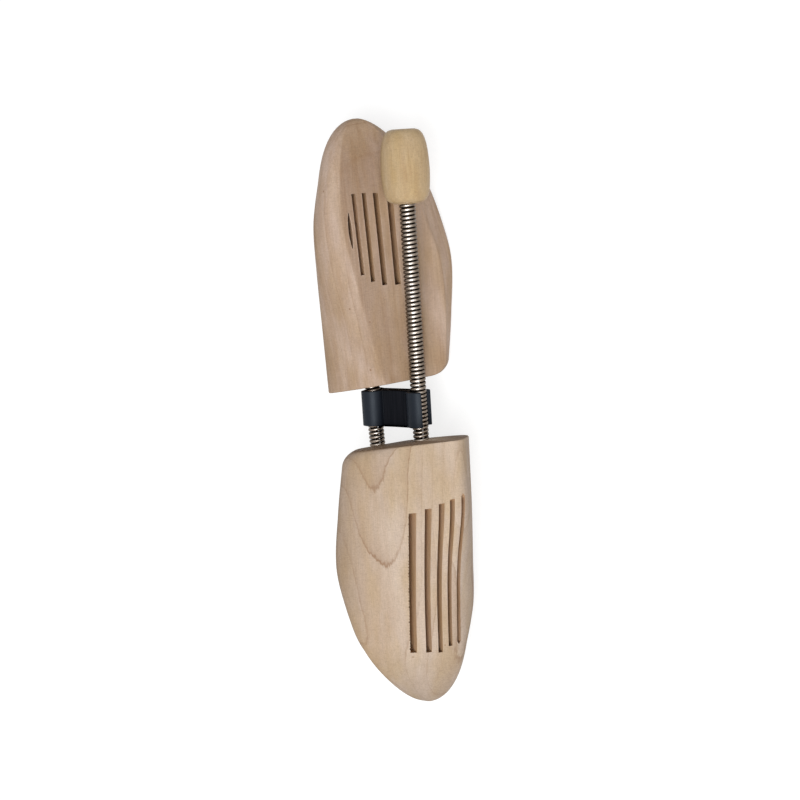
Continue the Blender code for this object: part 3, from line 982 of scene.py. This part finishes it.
def edge_shade_share(graph, own, inward, edge_shade_depth):
    """How much painted shade darkens the wood, growing towards both long edges and the toe.

    It grows from 31 to 44 mm outside the spring's line, from 6.7 to 15.8 mm inside it, and from
    96 to 128 mm before the back.
    """
    x, y, _ = separate(graph, own)
    # Painted shade towards both long edges and the toe.
    outer = fade(graph, x, -31 * inward, -44 * inward)
    inner = fade(graph, x, 6.7 * inward, 15.8 * inward)
    edges = calc(graph, "MAXIMUM", outer, inner)
    painted_edge_shade = calc(graph, "MAXIMUM", edges, fade(graph, y, -96, -128))
    return calc(graph, "MULTIPLY", painted_edge_shade, edge_shade_depth)


def fleck_share(graph, own):
    """Short brown flecks along the fibres, one about the middle of each Voronoi cell."""
    cells = graph.nodes.new("ShaderNodeTexVoronoi")
    cells.inputs["Scale"].default_value = 1
    graph.links.new(scaled(graph, own, (2.4, 0.5, 2.4)), cells.inputs["Vector"])
    return ramp(graph, cells.outputs["Distance"], ((0.10, 0.22), (0.24, 0.0)))


def spot_share(graph, own, fibres, spot, radius):
    """One small dark spot, by the distance from its place, which the fibres fray."""
    far = graph.nodes.new("ShaderNodeVectorMath")
    far.operation = "DISTANCE"
    graph.links.new(own, far.inputs[0])
    far.inputs[1].default_value = spot
    frayed = calc(graph, "MULTIPLY_ADD", fibres, radius, far.outputs["Value"])
    return ramp(graph, calc(graph, "DIVIDE", frayed, radius * 2.5), ((0.35, 0.85), (0.75, 0.0)))


# %% [markdown]
# ## The wood, layer by layer
#
# Over the tone lie yellowish clouds, lengthwise bands, fine fibres, a curl across them, and
# pores. Each is a noise stretched along the grain, or across it, and multiplies the colour
# a little. The ring lines come on top, and then the marks of use. The back shows the ends of
# the fibres, which are much darker and coarser.

# %% Beech finish
# Each layer is a noise, by its cells for each millimetre along x, y and z, its detail, its
# roughness and its distortion, and the tones that it gives where it is low and where high.
LAYERS = {
    "clouds": (((0.11, 0.03, 0.11), 2), ((0.40, (1.03, 1.03, 1.04)), (0.64, (0.97, 0.93, 0.82)))),
    "bands": (((0.32, 0.014, 0.32), 3, 0.6), ((0.34, (0.90, 0.86, 0.81)), (0.56, (1.0, 1.0, 1.0)))),
    "fibres": (((2.4, 0.09, 2.4), 5, 0.65), ((0.3, 0.84), (0.66, 1.0))),
    "curl": (((0.7, 2.2, 0.7), 2, 0.6, 1.2), ((0.36, 0.87), (0.56, 1.0))),
    "pores": (((7.0, 1.4, 7.0), 2, 0.6), ((0.28, 0.80), (0.45, 1.0))),
}
END_GRAIN = ((0.3, (0.36, 0.29, 0.23)), (0.6, (0.60, 0.53, 0.46)))
# The colour that paints shade on the long edges and the toe.
EDGE_SHADE_TONE = (0.72, 0.71, 0.71)
GRAIN_HEIGHT = 0.00012


def beech(name, place, tones, pith, rings, figure_and_shade, roughness, inward=1, marks=()):
    """Wood in (pale, deep, line) tones, with marks as (place, radius) spots of the line's tone.

    The rings are (radius of the first, their width, how many are clear, how dark they are). A
    sole gets painted shade, a deeper tone towards the inner side of the foot, which is +x if
    inward is 1. The tuple after the rings holds (strength of the lengthwise bands, painted shade
    on the upper side's outer edge, painted shade on the long edges and the toe).
    """
    made, graph, shader, own = start_material(name, place)
    pale, deep, line = tones
    band_depth, outer_shade_depth, edge_shade_depth = figure_and_shade
    colour = blend_colours(graph, tone_and_shade_share(graph, own, inward, outer_shade_depth), pale, deep)
    layers = {}
    for layer, (grain, stops) in LAYERS.items():
        layers[layer] = noise(graph, own, *grain)
        strength = band_depth if layer == "bands" else 1.0
        colour = darken(graph, strength, colour, ramp(graph, layers[layer], stops))
    fibres, curl, pores = (layers[layer] for layer in ("fibres", "curl", "pores"))
    late = late_wood(graph, own, pith, *rings[:3])
    colour = blend_colours(graph, fleck_share(graph, own), colour, line)
    colour = blend_colours(graph, calc(graph, "MULTIPLY", late, rings[3]), colour, line)
    # Painted shade on the long edges and the toe.
    colour = darken(graph, edge_shade_share(graph, own, inward, edge_shade_depth), colour, EDGE_SHADE_TONE)
    colour = darken(graph, attribute(graph, "end_grain"), colour, ramp(graph, pores, END_GRAIN))
    for spot, radius in marks:
        colour = blend_colours(graph, spot_share(graph, own, fibres, spot, radius), colour, line)
    graph.links.new(colour, shader.inputs["Base Color"])
    shader.inputs["Roughness"].default_value = roughness
    shader.inputs["Specular IOR Level"].default_value = 0.10
    height = calc(graph, "MULTIPLY_ADD", late, -0.6, calc(graph, "ADD", fibres, pores))
    height = calc(graph, "MULTIPLY_ADD", curl, 0.8, height)
    roughen(graph, shader, height, 0.4, GRAIN_HEIGHT)
    return made


def dress(piece, material):
    """Gives the piece this finish only."""
    piece.data.materials.clear()
    piece.data.materials.append(material)


# %% Wood for each piece
BLOCK_LINE = (0.235, 0.125, 0.062)
KNOB_LINE = (0.36, 0.20, 0.085)
SAWN = ((0.68, 0.475, 0.31), (0.55, 0.365, 0.225), BLOCK_LINE)
# Dark tones that paint the shade inside the nicks.
NICK_SHADE = ((0.20, 0.12, 0.07), (0.13, 0.075, 0.04), BLOCK_LINE)
KNOB_TONES = ((0.58, 0.44, 0.28), (0.48, 0.325, 0.155), KNOB_LINE)
TONES = {
    "a": ((0.615, 0.495, 0.395), (0.525, 0.40, 0.30), BLOCK_LINE),
    "b": ((0.59, 0.445, 0.35), (0.425, 0.298, 0.213), BLOCK_LINE),
}
PITHS = {"a": (-8.2, 3.8, 0.018, 0.187), "b": (14.0, -95.0, 0.0, 0.03)}
RINGS = {"a": (29.8, 3.75, 2, 0.8), "b": (2.0, 5.5, 99, 0.34)}
# Strength of the bands, and of the painted shade on the outer edge and on the long edges and toe.
FIGURES_AND_SHADE = {"a": (0.4, 0.6, 1.0), "b": (1.0, 0.0, 0.0)}
PLAIN_FIGURE = (1.0, 0.0, 0.0)
KNOB_PITH = (2.0, -16.0, 0.0, 0.0)
KNOB_RINGS = (1.0, 4.4, 99, 0.28)
MARKS = {
    "a": (((-12.2, -102.5, 22.9), 0.4), ((2.7, -97.3, 27.4), 0.35)),
    "b": (
        ((-16.3, -94.6, 6.1), 0.5), ((-9.4, -38.6, 4.2), 0.4),
        ((-1.1, -31.7, 0.0), 0.35), ((-2.2, -8.8, 3.3), 0.5),
    ),
}

for letter in "ab":
    side = SIDES[letter]
    place = block_place(letter)
    grown = PITHS[letter], RINGS[letter]
    sanded = FIGURES_AND_SHADE[letter], 0.62, MIRROR[letter], MARKS[letter]
    sides = beech(f"beech_{side}_block", place, TONES[letter], *grown, *sanded)
    sawn = beech(f"sawn_beech_{side}_block", place, SAWN, *grown, PLAIN_FIGURE, 0.8)
    # The nicks' faces are painted dark, as shade in them.
    nick_shaded = beech(f"nick_shade_beech_{side}_block", place, NICK_SHADE, *grown, PLAIN_FIGURE, 0.9)
    for slot_number, wood in enumerate((sides, sawn, nick_shaded)):
        blocks[letter].data.materials[slot_number] = wood
    varnished = KNOB_TONES, KNOB_PITH, KNOB_RINGS, PLAIN_FIGURE, 0.38
    dress(knobs[letter], beech(f"varnished_beech_{side}_knob", tree_place(letter)[0], *varnished))
print("wood on", len(blocks) + len(knobs), "pieces")

# %% [markdown]
# ## Steel and plastic
#
# The spring wire is painted in brown shade between its turns, and has a painted highlight
# along its upper and its lower line and painted shade on its flanks. All follow the marks
# stored on the wire, so they stay in place when the spring bends. The clip is moulded black
# plastic, a little glossy, so that its rounded channels catch a soft light along their length.

# %% Steel and plastic
# Painted light on the wire: a gain and a ramp for the highlight along its upper and lower line and
# the shade on its flanks, and a brown shade painted between the turns.
HIGHLIGHT_GAIN = 1.5
GAP_SHADE = (0.020, 0.012, 0.008)
PAINTED_HIGHLIGHT = ((0.7735, (0.30, 0.27, 0.24)), (0.906, (0.60, 0.56, 0.52)), (0.967, (1.0, 1.0, 1.0)))


def drawn_steel(name, place):
    """Wire with painted brown shade between its turns and on its flanks, and a painted highlight
    along the spring's upper line.
    """
    made, graph, shader, own = start_material(name, place)
    tarnish = noise(graph, own, (0.6, 0.6, 0.6), 3)
    blank = ramp(graph, tarnish, ((0.3, (0.33, 0.285, 0.24)), (0.7, (0.47, 0.43, 0.395))))
    # A painted highlight along the spring's upper and lower line, and painted shade on its flanks.
    blank = darken(graph, 1.0, blank, ramp(graph, attribute(graph, "highlight_line"), PAINTED_HIGHLIGHT))
    blank = darken(graph, 1.0, blank, (HIGHLIGHT_GAIN,) * 3)
    # Painted shade between the turns, where the crown turns in towards the axis.
    height = calc(graph, "MULTIPLY_ADD", tarnish, 0.3, attribute(graph, "crown"))
    gap_shaded = blend_colours(graph, ramp(graph, height, ((0.74, 0.0), (1.0, 1.0))), GAP_SHADE, blank)
    graph.links.new(gap_shaded, shader.inputs["Base Color"])
    graph.links.new(ramp(graph, tarnish, ((0.3, 0.32), (0.7, 0.25))), shader.inputs["Roughness"])
    shader.inputs["Metallic"].default_value = 1.0
    return made


def black_plastic(name, place):
    """Moulded plastic: dull, streaked and painted darker as shade on the web, up to 6.2 mm from its
    middle, then satin.
    """
    made, graph, shader, own = start_material(name, place)
    satin = fade(graph, calc(graph, "ABSOLUTE", separate(graph, own)["X"]), 6.2, 7.4)
    streaks = noise(graph, own, (2.2, 0.05, 2.2), 3)
    # The web's colour is darker than the channels' as painted shade in the recess; its streaks are
    # its own.
    web = ramp(graph, streaks, ((0.35, (0.0022, 0.0026, 0.004)), (0.7, (0.009, 0.009, 0.012))))
    colour = blend_colours(graph, satin, web, (0.008, 0.0105, 0.016))
    graph.links.new(colour, shader.inputs["Base Color"])
    shine = ramp(graph, satin, ((0.0, 0.06), (1.0, 0.20)))
    graph.links.new(shine, shader.inputs["Specular IOR Level"])
    shader.inputs["Specular Tint"].default_value = (0.80, 0.90, 1.0, 1)
    scuffs = noise(graph, own, (1.2, 0.15, 1.2), 3)
    graph.links.new(ramp(graph, scuffs, ((0.3, 0.47), (0.7, 0.40))), shader.inputs["Roughness"])
    roughen(graph, shader, calc(graph, "ADD", scuffs, streaks), 0.15, 0.00005)
    return made


for letter in "ab":
    steel = drawn_steel(f"steel_{SIDES[letter]}", tree_place(letter)[0])
    for piece in springs[letter]:
        dress(piece, steel)
dress(clip, black_plastic("black_clip_plastic", clip_place))
print("steel on", sum(len(pair) for pair in springs.values()), "pieces, plastic on the clip")

# %% [markdown]
# ## Light, floor and background
#
# The pair lies on a pale table in soft daylight, which comes from above and a little from
# the lower left of the picture. One large lamp gives that light and the sky fills the
# shadows. The floor and the sky are white only for rays that come from the camera, or by way
# of a reflection or a clear material, so the whiteness adds no light to the object, and the
# floor still takes a soft shadow.

# %% Sky
SKY_STRENGTH = 0.39


def white_when_seen(graph, plain, white, output):
    """Shows white to camera, glossy and transmission rays, and the plain shader to all others."""
    path = graph.nodes.new("ShaderNodeLightPath")
    seen_by = calc(graph, "MAXIMUM", path.outputs["Is Camera Ray"], path.outputs["Is Glossy Ray"])
    seen_by = calc(graph, "MAXIMUM", seen_by, path.outputs["Is Transmission Ray"])
    mix = graph.nodes.new("ShaderNodeMixShader")
    for socket, value in zip(mix.inputs, (seen_by, plain.outputs[0], white.outputs[0])):
        graph.links.new(value, socket)
    graph.links.new(mix.outputs[0], graph.nodes[output].inputs[0])


world = bpy.data.worlds.new("sky")
world.use_nodes = True
bpy.context.scene.world = world
sky = world.node_tree.nodes["Background"]
white = world.node_tree.nodes.new("ShaderNodeBackground")
for background, strength in ((sky, SKY_STRENGTH), (white, 1.0)):
    background.inputs["Color"].default_value = (1, 1, 1, 1)
    background.inputs["Strength"].default_value = strength
white_when_seen(world.node_tree, sky, white, "World Output")
print("sky at", SKY_STRENGTH, "of white")

# %% Floor
FLOOR_REACH = 3.0
FLOOR_GLOW = 0.76
PLAIN_GREY = (0.8, 0.8, 0.8, 1)
SHOWN_GREY = (0.35, 0.35, 0.35, 1)

floor_material = bpy.data.materials.new("pale_floor")
floor_material.use_nodes = True
graph = floor_material.node_tree
plain = graph.nodes.new("ShaderNodeBsdfDiffuse")
plain.inputs["Color"].default_value = PLAIN_GREY
shown = graph.nodes.new("ShaderNodeBsdfDiffuse")
shown.inputs["Color"].default_value = SHOWN_GREY
glow = graph.nodes.new("ShaderNodeEmission")
glow.inputs["Strength"].default_value = FLOOR_GLOW
both = graph.nodes.new("ShaderNodeAddShader")
graph.links.new(shown.outputs[0], both.inputs[0])
graph.links.new(glow.outputs[0], both.inputs[1])
white_when_seen(graph, plain, both, "Material Output")

corners = np.array(((-1, -1, 0), (1, -1, 0), (1, 1, 0), (-1, 1, 0))) * FLOOR_REACH
floor = mesh_piece("floor", corners, [(0, 1, 2, 3)])
dress(floor, floor_material)
print("floor", 2 * FLOOR_REACH, "m wide")

# %% Lamp
LAMP_SIZE = 0.8
LAMP_POWER = 10.0
# Metres to the picture's right, to its top and towards the camera, from the clip.
LAMP_FROM_CLIP = np.array((-0.11, -0.35, 0.98))

lamp_data = bpy.data.lights.new("daylight", "AREA")
lamp_data.shape = "DISK"
lamp_data.size = LAMP_SIZE
lamp_data.energy = LAMP_POWER
lamp = bpy.data.objects.new("daylight", lamp_data)
bpy.context.scene.collection.objects.link(lamp)
lamp_place = pair_centre + axes @ LAMP_FROM_CLIP
facing = Vector((pair_centre - lamp_place).tolist()).to_track_quat("-Z", "Y")
lamp.matrix_world = Matrix.Translation(lamp_place.tolist()) @ facing.to_matrix().to_4x4()
print("lamp at", np.round(lamp_place, 2))

# %% Finish
bpy.context.scene.view_settings.view_transform = "Standard"
